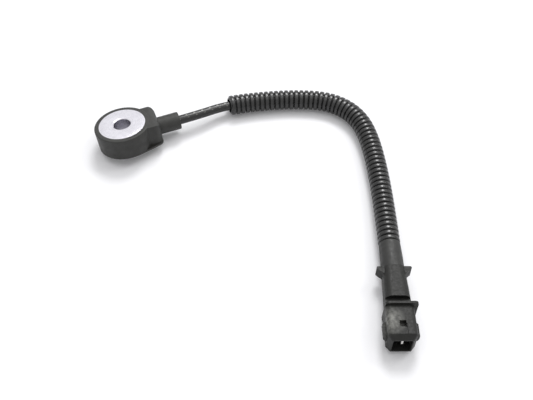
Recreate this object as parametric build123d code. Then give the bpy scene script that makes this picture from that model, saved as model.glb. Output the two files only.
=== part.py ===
"""Engine knock sensor, in millimetres, +Z up from the table that it lies on.

A ring of piezo ceramic is clamped round a steel sleeve and moulded into a plastic
body. A shielded lead leaves the body's side, runs through a corrugated conduit and
ends in an in-line connector with three blades. +X follows the lead's boss.
"""
from build123d import *
import math
import os

# Steel sleeve, measured down from its contact face at local Z = 0
bore_diameter = 8.4
bore_chamfer = 0.5
contact_face_diameter = 23.0
flange_thickness = 1.8
face_step_width = 0.9
face_step_depth = 0.2
sleeve_wall = 1.5
sleeve_diameter = bore_diameter + 2 * sleeve_wall
sleeve_proud = 0.6

# Sensing stack on the sleeve
stack_band = 4.3
stack_diameter = sleeve_diameter + 2 * stack_band
bush_wall = 0.4
insulator_thickness = 0.3
contact_thickness = 0.3
piezo_thickness = 2.4
mass_thickness = 2.6
spring_thickness = 0.6
spring_dish = 0.4
nut_thickness = 1.8
nut_band = 2.8
nut_diameter = sleeve_diameter + 2 * nut_band
nut_slot_width = 2.2
nut_slot_depth = 1.1
nut_slot_count = 4
tab_width = 1.8
tab_offset = 1.1
tab_reach = 13.0

# Moulded body
rim_width = 2.3
body_diameter = contact_face_diameter + 2 * rim_width
body_height = 12.2
body_draft = 1.0
face_proud = 0.25
rim_round = 0.6
foot_chamfer = 0.9
block_reach = 17.4
block_width = 17.2
block_corner_round = 3.2
block_end_round = 3.0
block_top_drop = 0.2
boss_diameter = 8.8
boss_length = 10.7
boss_edge_round = 0.6
boss_drop = 7.4

# How the head lies: rolled about the boss, and the boss raised a little
head_roll = 11.6
head_pitch = 1.25

# Lead
cable_diameter = 4.6
cable_anchor = 16.5
wire_diameter = 1.3
drain_diameter = 0.7
wire_spacing = 2.0
wire_bend = 1.2

# Corrugated conduit
conduit_diameter = 10.0
conduit_bore = 7.0
groove_diameter = 8.0
ridge_pitch = 2.58
ridge_base_width = 2.1
ridge_shoulder_width = 1.75
ridge_crown_width = 1.0
ridge_crown_rise = 0.25
conduit_start = 39.2

# Connector, measured forward from the front of its flange plate
plate_thickness = 1.0
plate_width = 13.8
plate_height = 15.6
plate_corner_round = 1.6
plate_shift = 0.8
hood_width = 12.2
hood_height = 12.0
hood_lift = 0.2
hood_length = 13.2
hood_top_round = 2.0
hood_foot_round = 0.5
nose_length = 2.0
nose_top_taper = 2.1
nose_side_taper = 1.7
mouth_width = 8.0
mouth_height = 8.6
mouth_corner_round = 0.6
recess_width = 2.8
recess_length = 2.9
recess_depth = 2.2
recess_start = 7.1
recess_shift = 0.25
groove_width = 0.6
groove_depth = 0.4
rib_proud = 1.4
rib_height = 2.2
rib_length = 7.4
rib_start = 5.5
neck_width = 9.8
neck_front_width = 11.4
neck_height = 10.8
neck_corner_round = 3.4
notch_length = 3.9
notch_depth = 2.6
housing_back = 20.3
ear_span = 15.2
ear_height = 5.6
ear_lift = 1.2
ear_length = 1.1
ear_slant = 2.4
ear_corner_round = 0.7
ear_edge_flat = 0.05
chamber_diameter = 7.6
web_front = 1.2
web_back = 5.1
boot_length = 14.1
boot_front_diameter = 10.2
boot_back_diameter = 9.6
boot_plug_length = 3.0
boot_nipple_length = 6.0
seal_length = 3.0
cable_end_gap = 1.3

# Terminals
blade_thickness = 0.8
blade_height = 2.8
blade_pitch = 2.6
blade_chamfer = 0.3
blade_setback_long = 1.0
blade_setback_short = 4.0
shoulder_length = 0.6
crimp_diameter = 2.1
crimp_length = 2.7
crimp_neck = 0.9

# Where the connector lies, and how it tilts up from the table to its mouth
connector_place = (78.39, -134.33)
connector_heading = -109.5
connector_pitch = 3.0

# Corners of the lead's route between its two straight ends, chosen by hand
route_corners = [
    (48.2, 3.4, 5.3),
    (73.6, -1.7, 5.0),
    (88.7, -7.0, 5.0),
    (97.4, -11.8, 5.0),
    (103.4, -18.1, 5.0),
    (107.1, -26.1, 5.0),
    (108.0, -36.0, 5.0),
    (105.3, -52.5, 5.0),
]
first_run = 20.5
last_run = 43.0
arc_share = 0.45


def stack_levels():
    """Height of each joint in the stack, from the flange down to the nut's far face."""
    names = ["flange", "lower_insulator", "lower_contact", "piezo", "upper_contact",
             "upper_insulator", "mass", "spring", "nut"]
    heights = [flange_thickness, insulator_thickness, contact_thickness, piezo_thickness,
               contact_thickness, insulator_thickness, mass_thickness,
               spring_thickness + spring_dish, nut_thickness]
    level = 0.0
    levels = {}
    for name, height in zip(names, heights):
        levels[name] = (level, level - height)
        level -= height
    return levels


LEVEL = stack_levels()


def disc(diameter, top, bottom, hole=0.0):
    """A flat ring about local Z between two levels."""
    ring = Pos(0, 0, bottom) * extrude(Circle(diameter / 2), top - bottom)
    if hole:
        ring -= Pos(0, 0, bottom) * extrude(Circle(hole / 2), top - bottom)
    return ring


def rod(start, length, diameter):
    """A round rod along local X."""
    return Plane(origin=start, x_dir=(0, 1, 0), z_dir=(1, 0, 0)) * extrude(Circle(diameter / 2), length)


def rounded_bar(width, height, round_radius, start, length):
    """A bar along local X with four equal rounded long edges."""
    section = RectangleRounded(width, height, round_radius)
    return Plane(origin=(start, 0, 0), x_dir=(0, 1, 0), z_dir=(1, 0, 0)) * extrude(section, length)


def bent_wire(points, diameter, bend):
    """A round wire through a few corners."""
    path = FilletPolyline(points, radius=bend)
    start = Plane(origin=path @ 0, z_dir=path % 0)
    return sweep(start * Circle(diameter / 2), path=path)


def support_sleeve():
    """Turned steel sleeve: a flange with a stepped rim, a tube and a through bore."""
    end = -body_height - sleeve_proud
    edge = contact_face_diameter / 2
    inner = bore_diameter / 2
    outline = Polyline([
        (inner, -bore_chamfer), (inner + bore_chamfer, 0), (edge - face_step_width, 0),
        (edge - face_step_width, -face_step_depth), (edge, -face_step_depth),
        (edge, -flange_thickness), (sleeve_diameter / 2, -flange_thickness),
        (sleeve_diameter / 2, end), (inner + bore_chamfer, end), (inner, end + bore_chamfer),
    ], close=True)
    return revolve(Plane.XZ * make_face(outline), Axis.Z)


def contact_disc(level_name, side):
    """Stamped contact ring with a tab that reaches into the block."""
    top, bottom = LEVEL[level_name]
    hole = sleeve_diameter + 2 * bush_wall
    ring = disc(stack_diameter, top, bottom)
    tab = Pos(tab_reach / 2, side * tab_offset, bottom) * extrude(Rectangle(tab_reach, tab_width), top - bottom)
    return ring + tab - disc(hole, top, bottom)


def disc_spring():
    """Dished spring ring that presses the mass onto the ceramic."""
    top, bottom = LEVEL["spring"]
    inner = sleeve_diameter / 2
    outer = nut_diameter / 2
    outline = Polyline([
        (inner, bottom), (outer, bottom + spring_dish), (outer, top), (inner, top - spring_dish),
    ], close=True)
    return revolve(Plane.XZ * make_face(outline), Axis.Z)


def clamp_nut():
    """Round nut with driving slots in its rim."""
    top, bottom = LEVEL["nut"]
    nut = disc(nut_diameter, top, bottom, sleeve_diameter)
    slot = Pos(nut_diameter / 2, 0, bottom) * extrude(
        Rectangle(2 * nut_slot_depth, nut_slot_width), nut_thickness)
    for index in range(nut_slot_count):
        nut -= Rot(0, 0, 45 + index * 360 / nut_slot_count) * slot
    return nut


def head_wire(side, tab_level):
    """Insulated wire from under a contact's tab to the cable's inner end."""
    across = side * wire_spacing / 2
    under_tab = tab_level - wire_diameter / 2
    return bent_wire([
        (tab_reach - 2.0, across, under_tab),
        (tab_reach - 0.2, across, under_tab),
        (cable_anchor - wire_bend, across, -boss_drop),
        (cable_anchor, across, -boss_drop),
    ], wire_diameter, wire_bend)


def head_outline():
    """Outside of the moulded body: drafted puck, side block, base and boss."""
    top = -face_proud
    puck = Pos(0, 0, top) * extrude(Circle(body_diameter / 2), -(body_height + top), taper=body_draft)
    puck = fillet(puck.edges().group_by(Axis.Z)[-1], rim_round)
    puck = chamfer(puck.edges().group_by(Axis.Z)[0], foot_chamfer)
    boss = rod((0, 0, -boss_drop), block_reach + boss_length, boss_diameter)
    boss = fillet(boss.edges().group_by(Axis.X)[-1], boss_edge_round)
    return puck + head_block(top - block_top_drop) + head_base() + boss


def head_block(block_top):
    """Block that carries the boss, with rounded end corners and a rounded top end."""
    height = body_height + block_top
    plan = Pos(block_reach / 2, 0, -body_height) * extrude(Rectangle(block_reach, block_width), height)
    plan = fillet(plan.edges().filter_by(Axis.Z).group_by(Axis.X)[-1], block_corner_round)
    bar = Pos(block_reach / 2, 0, block_top - height / 2) * Box(block_reach, block_width, height)
    bar = fillet(bar.edges().filter_by(Axis.Y).group_by(Axis.X)[-1].sort_by(Axis.Z)[-1], block_end_round)
    return plan & bar


def head_base():
    """Thin base under the puck that runs straight from its rim to the block's corners."""
    radius = body_diameter / 2 - foot_chamfer
    corner = Vector(block_reach, block_width / 2, 0)
    turn = math.atan2(corner.Y, corner.X) + math.acos(radius / corner.length)
    touch = (radius * math.cos(turn), radius * math.sin(turn))
    outline = Polyline([
        (0, 0), touch, (corner.X, corner.Y), (corner.X, -corner.Y), (touch[0], -touch[1]),
    ], close=True)
    base = Pos(0, 0, -body_height) * extrude(make_face(outline), foot_chamfer)
    return fillet(base.edges().filter_by(Axis.Z).group_by(Axis.X)[-1], block_corner_round)


def head_housing(outline, inner_pieces):
    """The outline, moulded round the sleeve, the stack, the tabs and the cable."""
    stack_bottom = LEVEL["nut"][1]
    housing = outline - disc(contact_face_diameter, 0, -flange_thickness)
    housing -= disc(stack_diameter, -flange_thickness, stack_bottom)
    housing -= disc(sleeve_diameter, 0, -body_height)
    for piece in inner_pieces:
        housing -= piece
    return housing


def lie_on_table(outline):
    """Location that tilts the head and puts the middle of its box over the origin."""
    roll = math.radians(head_roll)
    pitch = math.radians(head_pitch)
    along = (math.cos(pitch), 0, math.sin(pitch))
    normal = (-math.sin(pitch) * math.cos(roll), math.sin(roll), math.cos(pitch) * math.cos(roll))
    tilt = Plane(origin=(0, 0, 0), x_dir=along, z_dir=normal).location
    box = (tilt * outline).bounding_box()
    middle = box.center()
    return Pos(-middle.X, -middle.Y, -box.min.Z) * tilt


def connector_location():
    """Location of the connector, with the flange plate's lower edge on the table."""
    pitch = math.radians(connector_pitch)
    heading = math.radians(connector_heading)
    below = hood_lift + plate_height / 2
    height = below * math.cos(pitch) + plate_thickness * math.sin(pitch)
    forward = (math.cos(pitch) * math.cos(heading), math.cos(pitch) * math.sin(heading), math.sin(pitch))
    side = (-math.sin(heading), math.cos(heading), 0)
    up = Vector(forward).cross(Vector(side))
    return Plane(origin=(*connector_place, height), x_dir=forward, z_dir=up).location


def point_at(location, local):
    """A local point in the part's own frame."""
    return (location * Pos(*local)).position


def lead_route(head, connector):
    """The lead's centreline: two ends on the head's and connector's axes, corners between."""
    jacket_end = cable_end_position()
    corners = [Vector(*corner) for corner in route_corners]
    points = [
        point_at(head, (cable_anchor, 0, -boss_drop)),
        point_at(head, (cable_anchor + first_run, 0, -boss_drop)),
        *corners,
        point_at(connector, (jacket_end - last_run, 0, 0)),
        point_at(connector, (jacket_end, 0, 0)),
    ]
    runs = [(b - a).length for a, b in zip(points, points[1:])]
    radii = []
    for before, here, after, short in zip(points, points[1:], points[2:],
                                          map(min, runs, runs[1:])):
        half_turn = math.radians((here - before).get_angle(after - here)) / 2
        radii.append(arc_share * short / math.tan(half_turn))
    print("route runs", [round(run, 1) for run in runs])
    print("route radii", [round(radius, 1) for radius in radii])
    return FilletPolyline(*points, radius=radii)


def cable_end_position():
    """How far behind the plate the cable's jacket ends, inside the housing."""
    return -housing_back + boot_plug_length + seal_length + cable_end_gap


def along(path, distance):
    """Location on the path at a length from its start, with Z along the path."""
    return path.location_at(distance, position_mode=PositionMode.LENGTH)


def cable(path):
    """The lead's jacketed cable, plain along its route."""
    start = Plane(origin=path @ 0, z_dir=path % 0)
    return sweep(start * Circle(cable_diameter / 2), path=path)


def ridge():
    """One raised ring of the conduit, about local Z."""
    half_base = ridge_base_width / 2
    half_shoulder = ridge_shoulder_width / 2
    half_crown = ridge_crown_width / 2
    foot = conduit_bore / 4 + groove_diameter / 4
    crown = conduit_diameter / 2
    shoulder = crown - ridge_crown_rise
    outline = Polyline([
        (foot, -half_base), (shoulder, -half_shoulder), (crown, -half_crown),
        (crown, half_crown), (shoulder, half_shoulder), (foot, half_base),
    ], close=True)
    return revolve(Plane.XZ * make_face(outline), Axis.Z)


def corrugated_conduit(path, start, finish):
    """Corrugated tube along part of the lead's route, with raised rings at one pitch."""
    whole = path.length
    stretch = path.trim(start / whole, finish / whole)
    first = Plane(origin=stretch @ 0, z_dir=stretch % 0)
    tube = sweep(first * Circle(groove_diameter / 2), path=stretch)
    bore = sweep(first * Circle(conduit_bore / 2), path=stretch)
    count = int((finish - start) / ridge_pitch)
    margin = (finish - start - (count - 1) * ridge_pitch) / 2
    ring = ridge()
    rings = [along(path, start + margin + index * ridge_pitch) * ring for index in range(count)]
    return tube.fuse(*rings) - bore


def connector_boot():
    """Rubber sleeve that plugs into the housing and into the conduit."""
    back = -housing_back - boot_length
    shell = Polyline([
        (back - boot_nipple_length, cable_diameter / 2), (back - boot_nipple_length, conduit_bore / 2),
        (back, conduit_bore / 2), (back, boot_back_diameter / 2),
        (-housing_back - boot_length / 2, boot_front_diameter / 2), (-housing_back, boot_front_diameter / 2),
        (-housing_back, chamber_diameter / 2), (-housing_back + boot_plug_length, chamber_diameter / 2),
        (-housing_back + boot_plug_length, cable_diameter / 2),
    ], close=True)
    return revolve(make_face(shell), Axis.X)


def cable_seal():
    """Ring seal between the cable and the housing's chamber."""
    start = -housing_back + boot_plug_length
    ring = rod((start, 0, 0), seal_length, chamber_diameter)
    return ring - rod((start, 0, 0), seal_length, cable_diameter)


def hood_section(width, height, top_round, foot_round, lift=0.0):
    """Outline of the hood across its axis: rounder top corners, tighter bottom ones."""
    section = Pos(0, lift) * Rectangle(width, height)
    section = fillet(section.vertices().group_by(Axis.Y)[-1], top_round)
    return fillet(section.vertices().group_by(Axis.Y)[0], foot_round)


def across(position):
    """Plane across the connector's axis, with local X to its side and local Y up."""
    return Plane(origin=(position, 0, 0), x_dir=(0, 1, 0), z_dir=(1, 0, 0))


def hood():
    """Hood with a tapered nose. Its floor runs straight to the mouth."""
    full = hood_section(hood_width, hood_height, hood_top_round, hood_foot_round)
    nose_width = hood_width - 2 * nose_side_taper
    nose_height = hood_height - nose_top_taper
    nose_lift = -nose_top_taper / 2
    small = hood_section(nose_width, nose_height, hood_top_round / 2, hood_foot_round / 2, nose_lift)
    box = across(-plate_thickness) * extrude(full, hood_length + plate_thickness)
    nose = loft([across(hood_length) * full, across(hood_length + nose_length) * small])
    return box + nose


def hood_details():
    """Deep latch recess in the hood's roof, and a narrow groove from it to the front."""
    roof = hood_height / 2
    middle = recess_start + recess_length / 2
    recess = Pos(middle, recess_shift, roof - recess_depth) * extrude(
        Rectangle(recess_length, recess_width), recess_depth)
    run = hood_length - middle
    edge = recess_shift + recess_width / 2
    groove = Pos(middle + run / 2, edge, roof - groove_depth) * extrude(Rectangle(run, groove_width), groove_depth)
    return recess + groove


def side_ribs():
    """Guide ribs on both flanks of the hood."""
    width = hood_width / 2 + rib_proud
    section = across(rib_start) * extrude(Rectangle(2 * width, rib_height), rib_length)
    return chamfer(section.edges().filter_by(Axis.Z), rib_proud * 0.6)


def ears():
    """Rear ears: square at the back, slanted in to the neck at the front."""
    half = ear_span / 2
    inside = neck_width / 2
    back = -housing_back
    outline = Polyline([
        (back, -half), (back + ear_length, -half), (back + ear_length + ear_slant, -inside),
        (back + ear_length + ear_slant, inside), (back + ear_length, half), (back, half),
    ], close=True)
    plate = Pos(0, 0, ear_lift - ear_height / 2) * extrude(make_face(outline), ear_height)
    outer = plate.edges().filter_by(Axis.Z).group_by(Axis.Y)
    turn = math.atan2(half - inside, ear_slant)
    widest_round = (ear_length - ear_edge_flat) / (1 + math.tan(turn / 2))
    return fillet(outer[0] + outer[-1], min(ear_corner_round, widest_round))


def connector_housing(blades):
    """Moulded housing: ears, neck, notch, flange plate, hood and its mouth."""
    neck = loft([
        across(-housing_back) * RectangleRounded(neck_width, neck_height, neck_corner_round),
        across(0) * RectangleRounded(neck_front_width, neck_height, neck_corner_round),
    ])
    notch = Pos(-plate_thickness - notch_length / 2, 0, neck_height / 2 - notch_depth) * extrude(
        Rectangle(notch_length, plate_width), notch_depth)
    plate = Pos(0, plate_shift, -hood_lift) * rounded_bar(
        plate_width, plate_height, plate_corner_round, -plate_thickness, plate_thickness)
    housing = neck - notch + ears() + plate + hood() + side_ribs()
    housing -= hood_details()
    mouth_lift = -nose_top_taper / 2
    mouth = RectangleRounded(mouth_width, mouth_height, mouth_corner_round)
    depth = hood_length + nose_length - web_front
    housing -= across(web_front) * Pos(0, mouth_lift) * extrude(mouth, depth)
    housing -= rod((-housing_back, 0, 0), housing_back - web_back, chamber_diameter)
    for blade in blades:
        housing -= blade
    return housing


def terminal(offset, setback, wire):
    """Stamped terminal: a flat blade in the mouth and a crimp round its wire."""
    tip = hood_length + nose_length - setback
    shoulder = -web_back - shoulder_length
    blade = Pos((shoulder + tip) / 2, offset, -blade_height / 2) * extrude(
        Rectangle(tip - shoulder, blade_thickness), blade_height)
    blade = chamfer(blade.faces().sort_by(Axis.X)[-1].edges().filter_by(Axis.Y), blade_chamfer)
    crimp_back = shoulder - crimp_neck - crimp_length
    neck = Pos(shoulder - crimp_neck / 2, offset, -blade_height / 4) * extrude(
        Rectangle(crimp_neck, blade_thickness), blade_height / 2)
    crimp = rod((crimp_back, offset, 0), crimp_length, crimp_diameter)
    return blade + neck + crimp - rod((crimp_back, offset, 0), crimp_length - shoulder_length, wire)


def connector_wire(offset_at_cable, offset_at_blade, diameter):
    """Wire from the cable's end face into a terminal's crimp."""
    start = cable_end_position()
    crimp_back = -web_back - shoulder_length - crimp_neck - crimp_length
    seat = crimp_back + crimp_length - shoulder_length
    if offset_at_cable == offset_at_blade:
        return rod((start, offset_at_cable, 0), seat - start, diameter)
    return bent_wire([
        (start, offset_at_cable, 0),
        (start + wire_bend, offset_at_cable, 0),
        (crimp_back - wire_bend / 2, offset_at_blade, 0),
        (seat, offset_at_blade, 0),
    ], diameter, wire_bend)


def build():
    """Every piece, by node name, in the part's own frame."""
    outline = head_outline()
    head = lie_on_table(outline)
    connector = connector_location()
    path = lead_route(head, connector)
    lead = cable(path)
    conduit_end = path.length - (cable_end_position() + housing_back + boot_length)

    signal_at_head = head_wire(1, LEVEL["lower_contact"][1])
    return_at_head = head_wire(-1, LEVEL["upper_contact"][1])
    lower_contact = contact_disc("lower_contact", 1)
    upper_contact = contact_disc("upper_contact", -1)
    lead_at_head = head.inverse() * lead
    hole = sleeve_diameter + 2 * bush_wall
    head_pieces = {
        "head_housing": head_housing(
            outline, [lower_contact, upper_contact, signal_at_head, return_at_head, lead_at_head]),
        "support_sleeve": support_sleeve(),
        "insulating_bush": disc(hole, -flange_thickness, LEVEL["upper_insulator"][1], sleeve_diameter),
        "lower_insulating_washer": disc(stack_diameter, *LEVEL["lower_insulator"], hole),
        "lower_contact_disc": lower_contact,
        "piezo_ring": disc(stack_diameter, *LEVEL["piezo"], hole),
        "upper_contact_disc": upper_contact,
        "upper_insulating_washer": disc(stack_diameter, *LEVEL["upper_insulator"], hole),
        "seismic_mass": disc(stack_diameter, *LEVEL["mass"], sleeve_diameter),
        "disc_spring": disc_spring(),
        "clamp_nut": clamp_nut(),
    }

    signal_blade = terminal(blade_pitch, blade_setback_short, wire_diameter)
    return_blade = terminal(-blade_pitch, blade_setback_short, wire_diameter)
    shield_blade = terminal(0, blade_setback_long, drain_diameter)
    connector_pieces = {
        "connector_boot": connector_boot(),
        "cable_seal": cable_seal(),
        "connector_housing": connector_housing([signal_blade, return_blade, shield_blade]),
        "signal_blade": signal_blade,
        "return_blade": return_blade,
        "shield_blade": shield_blade,
        "shield_drain": connector_wire(0, 0, drain_diameter),
    }

    pieces = {name: head * piece for name, piece in head_pieces.items()}
    pieces.update({name: connector * piece for name, piece in connector_pieces.items()})
    signal_at_connector = connector_wire(wire_spacing / 2, blade_pitch, wire_diameter)
    return_at_connector = connector_wire(-wire_spacing / 2, -blade_pitch, wire_diameter)
    pieces["signal_wire"] = Compound([head * signal_at_head, connector * signal_at_connector])
    pieces["return_wire"] = Compound([head * return_at_head, connector * return_at_connector])
    pieces["cable"] = lead
    pieces["corrugated_conduit"] = corrugated_conduit(path, conduit_start, conduit_end)
    report_lead(path, lead, conduit_end)
    return pieces


def report_lead(path, lead, conduit_end):
    """Print the lead's measures and compare its volume with section times length."""
    section = math.pi * cable_diameter ** 2 / 4
    print("cable length", round(path.length, 1), "volume ratio", round(lead.volume / section / path.length, 5))
    print("conduit length", round(conduit_end - conduit_start, 1))


def write_parts(pieces):
    """Write one STEP file for each node."""
    os.makedirs("parts", exist_ok=True)
    for name, piece in pieces.items():
        export_step(piece, os.path.join("parts", name + ".step"))


write_parts(build())
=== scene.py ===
"""Engine knock sensor: the finish of each piece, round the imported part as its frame.

Everything is in metres, in the part's own frame: +X along the lead's boss, +Z up from
the table. The pieces follow in the order in which the sensor is put together.
"""
import math

import bmesh
import bpy
from mathutils import Matrix, Vector


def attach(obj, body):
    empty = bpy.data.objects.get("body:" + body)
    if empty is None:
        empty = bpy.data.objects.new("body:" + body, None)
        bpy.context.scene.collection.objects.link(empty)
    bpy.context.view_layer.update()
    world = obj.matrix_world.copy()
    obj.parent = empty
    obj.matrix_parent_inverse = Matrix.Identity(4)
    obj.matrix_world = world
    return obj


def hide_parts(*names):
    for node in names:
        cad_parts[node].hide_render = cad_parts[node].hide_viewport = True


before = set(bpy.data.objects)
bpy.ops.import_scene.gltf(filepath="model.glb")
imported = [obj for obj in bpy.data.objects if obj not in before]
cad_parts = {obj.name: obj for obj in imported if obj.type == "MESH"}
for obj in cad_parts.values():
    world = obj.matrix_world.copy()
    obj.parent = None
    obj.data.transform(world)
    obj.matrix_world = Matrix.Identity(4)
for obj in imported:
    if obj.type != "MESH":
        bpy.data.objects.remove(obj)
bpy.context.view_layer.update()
mm = 0.001


# Turned steel sleeve: its flange is the bright contact face that is bolted to the
# engine block, and its bore takes the bolt. It is spun about the bore's axis, zinc
# plated, and its face keeps the fine rings of the lathe tool.
head_roll = math.radians(11.6)
head_pitch = math.radians(1.25)
face_centre = Vector((-7.283, 1.126, 14.514)) * mm
bore_diameter = 8.4 * mm
bore_chamfer = 0.5 * mm
face_diameter = 23.0 * mm
flange_thickness = 1.8 * mm
face_step_width = 0.9 * mm
face_step_depth = 0.2 * mm
face_step_slope = 0.12 * mm
tube_diameter = 11.4 * mm
sleeve_length = 12.8 * mm
turned_edge_round = 0.1 * mm
steel_dark = (0.66, 0.65, 0.70, 1)
steel_light = (0.73, 0.72, 0.77, 1)
lathe_ring_pitch = 0.16 * mm
lathe_ring_depth = 0.002 * mm

head_along = Vector((math.cos(head_pitch), 0, math.sin(head_pitch)))
head_up = Vector((-math.sin(head_pitch) * math.cos(head_roll), math.sin(head_roll),
                  math.cos(head_pitch) * math.cos(head_roll)))
head_side = head_up.cross(head_along)
head_turn = Matrix((head_along, head_side, head_up)).transposed()
head_place = Matrix.Translation(face_centre) @ head_turn.to_4x4()


def turned(name, profile, place, steps=128):
    """A closed profile of (radius, height) points spun about local Z and put in its place."""
    work = bmesh.new()
    rings = []
    for step in range(steps):
        turn = 2 * math.pi * step / steps
        rings.append([work.verts.new((radius * math.cos(turn), radius * math.sin(turn), height))
                      for radius, height in profile])
    for step in range(steps):
        here = rings[step]
        following = rings[(step + 1) % steps]
        for index in range(len(profile)):
            after = (index + 1) % len(profile)
            work.faces.new((here[index], following[index], following[after], here[after]))
    bmesh.ops.recalc_face_normals(work, faces=work.faces)
    mesh = bpy.data.meshes.new(name)
    work.to_mesh(mesh)
    work.free()
    mesh.transform(place)
    for face in mesh.polygons:
        face.use_smooth = True
    piece = bpy.data.objects.new(name, mesh)
    bpy.context.scene.collection.objects.link(piece)
    return piece


def rounded_profile(corners, turns=4):
    """Corner points (radius, height, round) with each corner turned into a small arc."""
    points = []
    count = len(corners)
    for index in range(count):
        before = Vector(corners[index - 1][:2])
        here = Vector(corners[index][:2])
        after = Vector(corners[(index + 1) % count][:2])
        size = corners[index][2]
        into = (before - here).normalized()
        out = (after - here).normalized()
        angle = into.angle(out)
        back = size / math.tan(angle / 2)
        middle = here + (into + out).normalized() * size / math.sin(angle / 2)
        first = here + into * back - middle
        last = here + out * back - middle
        sweep = first.angle_signed(last)
        for turn in range(turns + 1):
            share = sweep * turn / turns
            points.append((middle.x + first.x * math.cos(share) + first.y * math.sin(share),
                           middle.y - first.x * math.sin(share) + first.y * math.cos(share)))
    return points


def plain_material(name, colour, roughness, metallic=0.0, specular=0.5):
    """A material with one shader, its even values set on the shader's own sockets."""
    material = bpy.data.materials.new(name)
    material.use_nodes = True
    shader = material.node_tree.nodes["Principled BSDF"]
    shader.inputs["Base Color"].default_value = colour
    shader.inputs["Roughness"].default_value = roughness
    shader.inputs["Metallic"].default_value = metallic
    shader.inputs["Specular IOR Level"].default_value = specular
    return material


def object_noise(material, size, detail=2.0):
    """Noise of a given grain size in the piece's own coordinates."""
    nodes = material.node_tree.nodes
    place = nodes.new("ShaderNodeTexCoord")
    noise = nodes.new("ShaderNodeTexNoise")
    noise.inputs["Scale"].default_value = 1 / size
    noise.inputs["Detail"].default_value = detail
    material.node_tree.links.new(place.outputs["Object"], noise.inputs["Vector"])
    return noise.outputs["Fac"]


def ranged(material, value, low, high, start=0.35, end=0.65):
    """A value between start and end, spread over low to high."""
    amount = material.node_tree.nodes.new("ShaderNodeMapRange")
    amount.inputs["From Min"].default_value = start
    amount.inputs["From Max"].default_value = end
    amount.inputs["To Min"].default_value = low
    amount.inputs["To Max"].default_value = high
    material.node_tree.links.new(value, amount.inputs["Value"])
    return amount.outputs["Result"]


def vary_roughness(material, value, low, high):
    """Lets a noise move the roughness between two values."""
    shader = material.node_tree.nodes["Principled BSDF"]
    material.node_tree.links.new(ranged(material, value, low, high), shader.inputs["Roughness"])


def blend_colour(material, share, first, second):
    """Takes the colour from one shade to another by a share from zero to one."""
    nodes = material.node_tree.nodes
    links = material.node_tree.links
    blend = nodes.new("ShaderNodeMixRGB")
    blend.inputs["Color1"].default_value = first
    blend.inputs["Color2"].default_value = second
    links.new(share, blend.inputs["Fac"])
    links.new(blend.outputs["Color"], nodes["Principled BSDF"].inputs["Base Color"])


def vary_colour(material, value, dark, light):
    """Lets a noise move the colour between two shades."""
    blend_colour(material, ranged(material, value, 0, 1), dark, light)


def add_bump(material, height, depth):
    """Bump of a real depth from a height output, chained after any earlier one."""
    nodes = material.node_tree.nodes
    links = material.node_tree.links
    shader = nodes["Principled BSDF"]
    bump = nodes.new("ShaderNodeBump")
    bump.inputs["Distance"].default_value = depth
    links.new(height, bump.inputs["Height"])
    if shader.inputs["Normal"].is_linked:
        links.new(shader.inputs["Normal"].links[0].from_socket, bump.inputs["Normal"])
    links.new(bump.outputs["Normal"], shader.inputs["Normal"])


def ring_noise(material, pitch):
    """Uneven concentric rings about the bore's axis, as a lathe tool leaves them."""
    nodes = material.node_tree.nodes
    links = material.node_tree.links
    place = nodes.new("ShaderNodeTexCoord")
    centred = nodes.new("ShaderNodeMapping")
    centred.vector_type = "TEXTURE"
    centred.inputs["Location"].default_value = face_centre
    centred.inputs["Rotation"].default_value = head_turn.to_euler()
    links.new(place.outputs["Object"], centred.inputs["Vector"])
    flat = nodes.new("ShaderNodeVectorMath")
    flat.operation = "MULTIPLY"
    flat.inputs[1].default_value = (1, 1, 0)
    links.new(centred.outputs["Vector"], flat.inputs[0])
    radius = nodes.new("ShaderNodeVectorMath")
    radius.operation = "LENGTH"
    links.new(flat.outputs["Vector"], radius.inputs[0])
    rings = nodes.new("ShaderNodeTexNoise")
    rings.noise_dimensions = "1D"
    rings.inputs["Scale"].default_value = 1 / pitch
    links.new(radius.outputs["Value"], rings.inputs["W"])
    return rings.outputs["Fac"]


edge = face_diameter / 2
inner = bore_diameter / 2
fine = turned_edge_round
sleeve_profile = rounded_profile([
    (inner, -bore_chamfer, fine), (inner + bore_chamfer, 0, fine),
    (edge - face_step_width, 0, fine / 2),
    (edge - face_step_width + face_step_slope, -face_step_depth, fine / 2),
    (edge, -face_step_depth, fine), (edge, -flange_thickness, fine),
    (tube_diameter / 2, -flange_thickness, fine), (tube_diameter / 2, -sleeve_length, fine),
    (inner + bore_chamfer, -sleeve_length, fine), (inner, -sleeve_length + bore_chamfer, fine),
])
sleeve_steel = plain_material("sleeve_steel", steel_light, 0.3, metallic=1)
lathe_rings = ring_noise(sleeve_steel, lathe_ring_pitch)
add_bump(sleeve_steel, lathe_rings, lathe_ring_depth)
vary_roughness(sleeve_steel, lathe_rings, 0.25, 0.36)
vary_colour(sleeve_steel, object_noise(sleeve_steel, 2.5 * mm), steel_dark, steel_light)

sleeve = turned("support_sleeve_turned", sleeve_profile, head_place)
sleeve.data.materials.append(sleeve_steel)
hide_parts("support_sleeve")
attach(sleeve, "root")


# Sensing stack on the sleeve: a film bush and washers insulate two stamped brass discs
# with the piezo ceramic between them, and a steel mass is pressed on them by a dished
# spring under a slotted round nut. The moulded body hides all of it.
def dress(material, *names):
    """Gives CAD nodes that are right as they are their material."""
    for name in names:
        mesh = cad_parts[name].data
        mesh.materials.clear()
        mesh.materials.append(material)


film_dark = (0.56, 0.35, 0.10, 1)
film_light = (0.66, 0.44, 0.14, 1)
polymer_film = plain_material("polymer_film", film_light, 0.35)
vary_colour(polymer_film, object_noise(polymer_film, 1.5 * mm), film_dark, film_light)
dress(polymer_film, "insulating_bush", "lower_insulating_washer", "upper_insulating_washer")

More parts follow.
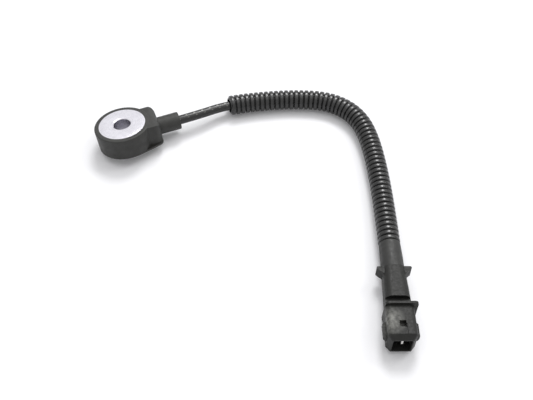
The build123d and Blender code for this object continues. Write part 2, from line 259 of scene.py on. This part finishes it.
contact_brass = plain_material("contact_brass", (0.80, 0.62, 0.30, 1), 0.3, metallic=1)
vary_roughness(contact_brass, object_noise(contact_brass, 0.8 * mm), 0.22, 0.40)
dress(contact_brass, "lower_contact_disc", "upper_contact_disc")

ceramic_dark = (0.74, 0.72, 0.64, 1)
ceramic_light = (0.84, 0.82, 0.75, 1)
piezo_ceramic = plain_material("piezo_ceramic", ceramic_light, 0.6)
piezo_grain = object_noise(piezo_ceramic, 0.2 * mm)
add_bump(piezo_ceramic, piezo_grain, 0.01 * mm)
vary_colour(piezo_ceramic, piezo_grain, ceramic_dark, ceramic_light)
dress(piezo_ceramic, "piezo_ring")

mass_steel = plain_material("mass_steel", (0.45, 0.45, 0.46, 1), 0.4, metallic=1)
mass_rings = ring_noise(mass_steel, 0.3 * mm)
add_bump(mass_steel, mass_rings, 0.004 * mm)
vary_roughness(mass_steel, mass_rings, 0.3, 0.5)
dress(mass_steel, "seismic_mass", "clamp_nut")

spring_steel = plain_material("spring_steel", (0.30, 0.31, 0.36, 1), 0.35, metallic=1)
vary_roughness(spring_steel, object_noise(spring_steel, 1.2 * mm), 0.28, 0.42)
dress(spring_steel, "disc_spring")


# Wires in the head and in the connector: extruded insulation over fine strands, red
# for the signal and blue for the return.
wire_jacket = plain_material("wire_jacket", (0.45, 0.03, 0.02, 1), 0.35)
wire_jacket_dark = plain_material("wire_jacket_dark", (0.02, 0.03, 0.25, 1), 0.35)
for jacket in (wire_jacket, wire_jacket_dark):
    vary_roughness(jacket, object_noise(jacket, 0.8 * mm), 0.3, 0.45)
dress(wire_jacket, "signal_wire")
dress(wire_jacket_dark, "return_wire")


# Moulded body of the head: glass-filled nylon moulded round the sleeve, the stack and
# the cable's end. The form is the part's own solid; its sharp edges get the small radii
# that a mould leaves, and its surface a fine matt grain.
body_edge_round = 0.25 * mm
body_dark = (0.016, 0.016, 0.0145, 1)
body_light = (0.023, 0.023, 0.021, 1)


def softened_copy(node, name, edge_round, sharp_angle=28):
    """A copy of a CAD node with its flat faces made whole and its sharp edges rounded."""
    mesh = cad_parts[node].data.copy()
    mesh.name = name
    work = bmesh.new()
    work.from_mesh(mesh)
    bmesh.ops.remove_doubles(work, verts=work.verts, dist=0.0005 * mm)
    bmesh.ops.dissolve_limit(work, angle_limit=math.radians(0.6), verts=work.verts, edges=work.edges)
    work.to_mesh(mesh)
    work.free()
    mesh.materials.clear()
    piece = bpy.data.objects.new(name, mesh)
    bpy.context.scene.collection.objects.link(piece)
    bevel = piece.modifiers.new("edge_round", "BEVEL")
    bevel.width = edge_round
    bevel.segments = 3
    bevel.limit_method = "ANGLE"
    bevel.angle_limit = math.radians(sharp_angle)
    bevel.miter_outer = "MITER_ARC"
    for face in mesh.polygons:
        face.use_smooth = True
    even = piece.modifiers.new("even_shading", "WEIGHTED_NORMAL")
    even.keep_sharp = True
    return piece


body_plastic = plain_material("body_plastic", body_dark, 0.56, specular=0.45)
add_bump(body_plastic, object_noise(body_plastic, 0.16 * mm, 3), 0.012 * mm)
vary_roughness(body_plastic, object_noise(body_plastic, 3 * mm), 0.50, 0.62)
vary_colour(body_plastic, object_noise(body_plastic, 0.5 * mm, 4), body_dark, body_light)

head_body = softened_copy("head_housing", "head_body", body_edge_round)
head_body.data.materials.append(body_plastic)
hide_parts("head_housing")
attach(head_body, "root")


# Cable: a sheathed two-core lead of 4.6 mm with two rows of short pale dashes. It
# leaves the boss, lies down to the table and runs through the conduit to the connector.
# Geometry Nodes sweep its round section along the route's line and note on the skin how
# far along and how far round each point is, so that the dashes follow the sheath.
cable_diameter = 4.6 * mm
exit_reach = 27.1 * mm
boss_drop = 7.4 * mm
cable_points = [Vector(point) * mm for point in [
    (29.866, -0.362, 8.074), (48.2, 3.4, 5.3), (73.6, -1.7, 5.0), (88.7, -7.0, 5.0),
    (97.4, -11.8, 5.0), (103.4, -18.1, 5.0), (107.1, -26.1, 5.0), (108.0, -36.0, 5.0),
    (105.3, -52.5, 5.0), (97.058, -81.614, 5.111), (82.724, -122.092, 7.361),
]]
cable_exit = head_place @ Vector((exit_reach, 0, -boss_drop))

route_line = bpy.data.curves.new("lead_route", "CURVE")
route_line.dimensions = "3D"
route_spline = route_line.splines.new("NURBS")
route_spline.points.add(len(cable_points))
for point, place in zip(route_spline.points, [cable_exit, *cable_points]):
    point.co = (*place, 1)
route_spline.order_u = 3
route_spline.use_endpoint_u = True
route_spline.resolution_u = 24
route = bpy.data.objects.new("lead_route", route_line)
bpy.context.scene.collection.objects.link(route)
line_points = [vertex.co.copy() for vertex in bpy.data.meshes.new_from_object(route).vertices]
cable_length = sum((b - a).length for a, b in zip(line_points, line_points[1:]))


def node_group(name, **inputs):
    """An empty geometry node tree with a geometry input and output and named sizes."""
    tree = bpy.data.node_groups.new(name, "GeometryNodeTree")
    tree.interface.new_socket("Geometry", in_out="INPUT", socket_type="NodeSocketGeometry")
    for label, value in inputs.items():
        kind = "NodeSocketInt" if isinstance(value, int) else "NodeSocketFloat"
        socket = tree.interface.new_socket(label, in_out="INPUT", socket_type=kind)
        socket.default_value = value
    tree.interface.new_socket("Geometry", in_out="OUTPUT", socket_type="NodeSocketGeometry")
    return tree


def math_node(tree, operation, *values):
    """A math node fed by outputs or plain numbers."""
    node = tree.nodes.new("ShaderNodeMath")
    node.operation = operation
    for socket, value in zip(node.inputs, values):
        if isinstance(value, (int, float)):
            socket.default_value = value
        else:
            tree.links.new(value, socket)
    return node.outputs[0]


def stretch_of_line(tree, line, start, finish, count):
    """The line between two lengths, with an even count of points and its normals upright."""
    trim = tree.nodes.new("GeometryNodeTrimCurve")
    trim.mode = "LENGTH"
    tree.links.new(line, trim.inputs["Curve"])
    # Inputs 4 and 5 are the start and end as lengths; 2 and 3, of the same names, are shares.
    tree.links.new(start, trim.inputs[4])
    tree.links.new(finish, trim.inputs[5])
    resample = tree.nodes.new("GeometryNodeResampleCurve")
    tree.links.new(trim.outputs["Curve"], resample.inputs["Curve"])
    tree.links.new(count, resample.inputs["Count"])
    upright = tree.nodes.new("GeometryNodeSetCurveNormal")
    upright.mode = "Z_UP"
    tree.links.new(resample.outputs["Curve"], upright.inputs["Curve"])
    return upright.outputs["Curve"]


def store_attribute(tree, geometry, name, value):
    """Keeps a value on each point under a name that a material can read."""
    store = tree.nodes.new("GeometryNodeStoreNamedAttribute")
    store.inputs["Name"].default_value = name
    tree.links.new(geometry, store.inputs["Geometry"])
    tree.links.new(value, store.inputs["Value"])
    return store.outputs["Geometry"]


def swept_skin(tree, line, radius, sides, caps):
    """A round skin along a line, noting on it how far round from its foot each point is."""
    circle = tree.nodes.new("GeometryNodeCurvePrimitiveCircle")
    tree.links.new(sides, circle.inputs["Resolution"])
    circle.inputs["Radius"].default_value = 1
    from_side = tree.nodes.new("GeometryNodeSplineParameter").outputs["Factor"]
    from_foot = math_node(tree, "FRACT", math_node(tree, "SUBTRACT", from_side, 0.25))
    noted = store_attribute(tree, circle.outputs["Curve"], "around", from_foot)
    skin = tree.nodes.new("GeometryNodeCurveToMesh")
    skin.inputs["Fill Caps"].default_value = caps
    tree.links.new(line, skin.inputs["Curve"])
    tree.links.new(noted, skin.inputs["Profile Curve"])
    tree.links.new(radius, skin.inputs["Scale"])
    return skin.outputs["Mesh"]


def finish_tree(tree, mesh, material):
    """Smooth shading, real instances and the material, into the tree's output."""
    smooth = tree.nodes.new("GeometryNodeSetShadeSmooth")
    tree.links.new(mesh, smooth.inputs["Geometry"])
    real = tree.nodes.new("GeometryNodeRealizeInstances")
    tree.links.new(smooth.outputs["Geometry"], real.inputs["Geometry"])
    dressed = tree.nodes.new("GeometryNodeSetMaterial")
    dressed.inputs["Material"].default_value = material
    tree.links.new(real.outputs["Geometry"], dressed.inputs["Geometry"])
    tree.links.new(dressed.outputs["Geometry"], tree.nodes.new("NodeGroupOutput").inputs["Geometry"])


def grown_along_route(tree, name):
    """The plain mesh that a tree makes of the route's line."""
    grow = route.modifiers.new(name, "NODES")
    grow.node_group = tree
    bpy.context.view_layer.update()
    grown = route.evaluated_get(bpy.context.evaluated_depsgraph_get())
    mesh = bpy.data.meshes.new_from_object(grown)
    mesh.name = name
    route.modifiers.remove(grow)
    piece = bpy.data.objects.new(name, mesh)
    bpy.context.scene.collection.objects.link(piece)
    return piece


def shader_math(material, operation, *values):
    """A math node in a material."""
    return math_node(material.node_tree, operation, *values)


def read_attribute(material, name):
    """A value that the mesh carries under a name."""
    reader = material.node_tree.nodes.new("ShaderNodeAttribute")
    reader.attribute_name = name
    return reader.outputs["Fac"]


# Each row of dashes lies at a share of a turn from the cable's foot, with its own shift
# along the cable and its own strength. The lower row's weaker ink is painted shade: it stands
# for that row lying off the lamp's highlight.
dash_pitch = 4.25 * mm
dash_length = 0.8 * mm
dash_width = 0.45 * mm
dash_rows = [(0.490, -0.5 * mm, 1.0), (0.592, -1.3 * mm, 0.25)]
dash_half_turn = dash_width / (2 * math.pi * cable_diameter)
sheath_black = (0.005, 0.005, 0.005, 1)
dash_ink = (0.42, 0.42, 0.38, 1)

cable_sheath = plain_material("cable_sheath", sheath_black, 0.3)
vary_roughness(cable_sheath, object_noise(cable_sheath, 2 * mm), 0.26, 0.34)
along_sheath = read_attribute(cable_sheath, "along")
round_sheath = read_attribute(cable_sheath, "around")
marks = 0.0
for row, shift, strength in dash_rows:
    place = shader_math(cable_sheath, "PINGPONG", shader_math(
        cable_sheath, "ADD", along_sheath, shift), dash_pitch / 2)
    inside_length = shader_math(cable_sheath, "LESS_THAN", place, dash_length / 2)
    off_row = shader_math(cable_sheath, "ABSOLUTE", shader_math(
        cable_sheath, "SUBTRACT", round_sheath, row))
    inside_row = shader_math(cable_sheath, "LESS_THAN", off_row, dash_half_turn)
    dash = shader_math(cable_sheath, "MULTIPLY", inside_length, inside_row)
    dash = shader_math(cable_sheath, "MULTIPLY", dash, strength)
    marks = shader_math(cable_sheath, "MAXIMUM", dash, marks)
blend_colour(cable_sheath, marks, sheath_black, dash_ink)

tree = node_group("sheathed_cable", Start=0.0, Length=cable_length, Radius=cable_diameter / 2,
                  Points=240, Sides=32)
given = tree.nodes.new("NodeGroupInput").outputs
line = stretch_of_line(tree, given["Geometry"], given["Start"], given["Length"], given["Points"])
distance = tree.nodes.new("GeometryNodeSplineParameter").outputs["Length"]
line = store_attribute(tree, line, "along", distance)
finish_tree(tree, swept_skin(tree, line, given["Radius"], given["Sides"], True), cable_sheath)

lead_cable = grown_along_route(tree, "lead_cable")
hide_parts("cable")
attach(lead_cable, "root")


# Corrugated conduit: blow-moulded nylon tube with rounded rings at one pitch, slipped
# over the cable. The skin is swept along the same line, and its radius follows the
# ring's section: a flat-topped crown, round shoulders and a narrow groove.
conduit_diameter = 10.0 * mm
groove_diameter = 8.0 * mm
ridge_pitch = 2.58 * mm
conduit_wall = 0.45 * mm
conduit_start = 28.6 * mm
conduit_finish = 175.98 * mm
steps_per_ridge = 16
sides_of_tube = 36
ring_section = [
    (0.0, 1.0), (0.38, 0.985), (0.60, 0.90), (0.74, 0.66), (0.82, 0.25), (0.875, 0.0), (1.0, 0.0),
]

conduit_nylon = plain_material("conduit_nylon", (0.007, 0.007, 0.007, 1), 0.26, specular=0.55)
add_bump(conduit_nylon, object_noise(conduit_nylon, 0.25 * mm), 0.008 * mm)
vary_roughness(conduit_nylon, object_noise(conduit_nylon, 1.6 * mm), 0.21, 0.33)

tree = node_group("corrugated_tube", Start=conduit_start, Finish=conduit_finish, Pitch=ridge_pitch,
                  Groove_radius=groove_diameter / 2, Crown_radius=conduit_diameter / 2,
                  Steps=steps_per_ridge, Sides=sides_of_tube)
given = tree.nodes.new("NodeGroupInput").outputs
length = math_node(tree, "SUBTRACT", given["Finish"], given["Start"])
ridges = math_node(tree, "FLOOR", math_node(tree, "DIVIDE", length, given["Pitch"]))
count = math_node(tree, "MULTIPLY", math_node(tree, "DIVIDE", length, given["Pitch"]), given["Steps"])
line = stretch_of_line(tree, given["Geometry"], given["Start"], given["Finish"], count)
position = tree.nodes.new("GeometryNodeSplineParameter").outputs["Length"]
margin = math_node(tree, "MULTIPLY", 0.5, math_node(
    tree, "SUBTRACT", length, math_node(tree, "MULTIPLY", ridges, given["Pitch"])))
phase = math_node(tree, "FRACT", math_node(
    tree, "DIVIDE", math_node(tree, "SUBTRACT", position, margin), given["Pitch"]))
from_crown = math_node(tree, "MULTIPLY", 2, math_node(
    tree, "ABSOLUTE", math_node(tree, "SUBTRACT", phase, 0.5)))
section = tree.nodes.new("ShaderNodeFloatCurve")
tree.links.new(from_crown, section.inputs["Value"])
points = section.mapping.curves[0].points
points[0].location = ring_section[0]
points[1].location = ring_section[-1]
for place in ring_section[1:-1]:
    points.new(*place)
section.mapping.update()
rise = math_node(tree, "SUBTRACT", given["Crown_radius"], given["Groove_radius"])
radius = math_node(tree, "ADD", given["Groove_radius"], math_node(
    tree, "MULTIPLY", rise, section.outputs["Value"]))
finish_tree(tree, swept_skin(tree, line, radius, given["Sides"], False), conduit_nylon)

conduit_tube = grown_along_route(tree, "conduit_tube")
wall = conduit_tube.modifiers.new("wall", "SOLIDIFY")
wall.thickness = conduit_wall
wall.offset = -1
bpy.data.objects.remove(route)
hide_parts("corrugated_conduit")
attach(conduit_tube, "root")


# Boot and seal: a black rubber sleeve plugs into the conduit and into the housing, and
# a silicone ring seals the cable inside it.
boot_edge_round = 0.3 * mm
boot_rubber = plain_material("boot_rubber", (0.013, 0.013, 0.012, 1), 0.55)
add_bump(boot_rubber, object_noise(boot_rubber, 0.3 * mm), 0.01 * mm)
vary_roughness(boot_rubber, object_noise(boot_rubber, 2 * mm), 0.46, 0.62)
boot = softened_copy("connector_boot", "boot", boot_edge_round)
boot.data.materials.append(boot_rubber)
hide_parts("connector_boot")
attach(boot, "root")

seal_rubber = plain_material("seal_rubber", (0.28, 0.06, 0.03, 1), 0.5)
vary_roughness(seal_rubber, object_noise(seal_rubber, 1 * mm), 0.42, 0.58)
dress(seal_rubber, "cable_seal")


# Terminals: tin-plated brass blades, stamped and crimped to the wires and to the
# screen's drain.
blade_tin = plain_material("blade_tin", (0.80, 0.79, 0.76, 1), 0.3, metallic=1)
vary_roughness(blade_tin, object_noise(blade_tin, 0.5 * mm), 0.22, 0.4)
dress(blade_tin, "signal_blade", "return_blade", "shield_blade")

drain_copper = plain_material("drain_copper", (0.75, 0.72, 0.68, 1), 0.35, metallic=1)
vary_roughness(drain_copper, object_noise(drain_copper, 0.3 * mm), 0.28, 0.45)
dress(drain_copper, "shield_drain")


# Connector housing: moulded black nylon with ears, a neck, a flange plate and a hood
# with its latch recess. Its faces keep the mould's fine texture, and the hood's top at its
# left rear carries a painted highlight: a pale, mottled patch standing in for the lamp's reflection.
connector_edge_round = 0.25 * mm
# Centre, reach and pale grey of the painted highlight on the hood's top.
painted_highlight_centre = Vector((71.6, -139.0, 14.2)) * mm
painted_highlight_radius = 7 * mm
connector_black = (0.012, 0.012, 0.011, 1)
painted_highlight_grey = (0.20, 0.20, 0.185, 1)
connector_plastic = plain_material("connector_plastic", connector_black, 0.5, specular=0.30)
add_bump(connector_plastic, object_noise(connector_plastic, 0.22 * mm, 3), 0.014 * mm)
vary_roughness(connector_plastic, object_noise(connector_plastic, 0.9 * mm, 3), 0.46, 0.62)
# Painted highlight: the colour turns pale and mottled towards a spot on the hood's top, in place of
# the lamp's reflection.
from_highlight_centre = connector_plastic.node_tree.nodes.new("ShaderNodeVectorMath")
from_highlight_centre.operation = "DISTANCE"
from_highlight_centre.inputs[1].default_value = painted_highlight_centre
surface_place = connector_plastic.node_tree.nodes.new("ShaderNodeTexCoord")
connector_plastic.node_tree.links.new(surface_place.outputs["Object"], from_highlight_centre.inputs[0])
highlight_fade = ranged(connector_plastic, from_highlight_centre.outputs["Value"], 1, 0, painted_highlight_radius / 4, painted_highlight_radius)
highlight_mottle = ranged(connector_plastic, object_noise(connector_plastic, 1.5 * mm, 4), 0.25, 1)
painted_highlight = shader_math(connector_plastic, "MULTIPLY", highlight_fade, highlight_mottle)
blend_colour(connector_plastic, painted_highlight, connector_black, painted_highlight_grey)

connector = softened_copy("connector_housing", "connector_shell", connector_edge_round)
connector.data.materials.append(connector_plastic)
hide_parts("connector_housing")
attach(connector, "root")


# Table, lights and camera: a white table, a lamp from behind on the right and one from
# the right, a wide soft light overhead and an even white room. The table glows a little
# more far away, where the lamps don't reach. The camera looks down at 55 degrees.
floor_colour = (0.86, 0.86, 0.88, 1)
floor_glow = 0.06
far_floor_glow = 0.6
far_floor_start = 0.3
far_floor_end = 1.4
lamp_direction = Vector((0.36, 0.62, 1.0)).normalized()
lamp_distance = 1.2
lamp_size = 0.38
lamp_power = 6.6
side_direction = Vector((0.90, 0.10, 1.0)).normalized()
side_size = 0.35
side_power = 2.0
ceiling_direction = Vector((0.10, 0.20, 1.0)).normalized()
ceiling_distance = 1.1
ceiling_size = 1.3
ceiling_power = 5.0
room_strength = 0.51
table_half_side = 3
table_drop = 0.02 * mm
camera_place = (-0.020114, -0.24527, 0.2867)
camera_from_straight_down = math.radians(35)
camera_turn = math.radians(-19.7)
camera_lens = 49.37


def seen_directly(tree):
    """One for rays from the camera, mirrored or let through, and zero for those that light."""
    outputs = tree.nodes.new("ShaderNodeLightPath").outputs
    found = math_node(tree, "MAXIMUM", outputs["Is Camera Ray"], outputs["Is Glossy Ray"])
    return math_node(tree, "MAXIMUM", found, outputs["Is Transmission Ray"])


floor_mesh = bpy.data.meshes.new("table")
work = bmesh.new()
bmesh.ops.create_grid(work, x_segments=1, y_segments=1, size=table_half_side)
work.to_mesh(floor_mesh)
work.free()
floor = bpy.data.objects.new("table", floor_mesh)
bpy.context.scene.collection.objects.link(floor)
floor.location.z = -table_drop
table_white = plain_material("table_white", floor_colour, 0.9, specular=0)
nodes = table_white.node_tree.nodes
links = table_white.node_tree.links
glow = nodes.new("ShaderNodeEmission")
visible = seen_directly(table_white.node_tree)
outward = nodes.new("ShaderNodeVectorMath")
outward.operation = "LENGTH"
links.new(nodes.new("ShaderNodeTexCoord").outputs["Object"], outward.inputs[0])
table_glow = ranged(table_white, outward.outputs["Value"], floor_glow, far_floor_glow,
                    far_floor_start, far_floor_end)
links.new(math_node(table_white.node_tree, "MULTIPLY", visible, table_glow), glow.inputs["Strength"])
both = nodes.new("ShaderNodeAddShader")
links.new(nodes["Principled BSDF"].outputs["BSDF"], both.inputs[0])
links.new(glow.outputs["Emission"], both.inputs[1])
links.new(both.outputs["Shader"], nodes["Material Output"].inputs["Surface"])
floor_mesh.materials.append(table_white)

world = bpy.data.worlds.new("white_room")
bpy.context.scene.world = world
world.use_nodes = True
background = world.node_tree.nodes["Background"]
background.inputs["Color"].default_value = (1, 1, 1, 1)
extra = math_node(world.node_tree, "MULTIPLY", seen_directly(world.node_tree), 1 - room_strength)
brightness = math_node(world.node_tree, "ADD", extra, room_strength)
world.node_tree.links.new(brightness, background.inputs["Strength"])

aim = Vector((45, -50, 0)) * mm
for name, direction, lamp_reach, size, power in [
        ("soft_lamp", lamp_direction, lamp_distance, lamp_size, lamp_power),
        ("side_lamp", side_direction, lamp_distance, side_size, side_power),
        ("ceiling_light", ceiling_direction, ceiling_distance, ceiling_size, ceiling_power)]:
    lamp_data = bpy.data.lights.new(name, "AREA")
    lamp_data.energy = power
    lamp_data.size = size
    lamp = bpy.data.objects.new(name, lamp_data)
    bpy.context.scene.collection.objects.link(lamp)
    lamp.location = aim + direction * lamp_reach
    lamp.rotation_euler = direction.to_track_quat("Z", "Y").to_euler()

camera_data = bpy.data.cameras.new("camera")
camera_data.sensor_width = 36
camera_data.lens = camera_lens
camera_data.clip_start = 0.01
camera_data.clip_end = 20
camera = bpy.data.objects.new("camera", camera_data)
bpy.context.scene.collection.objects.link(camera)
camera.location = camera_place
camera.rotation_euler = (camera_from_straight_down, 0, camera_turn)
bpy.context.scene.camera = camera
bpy.context.scene.view_settings.view_transform = "Standard"
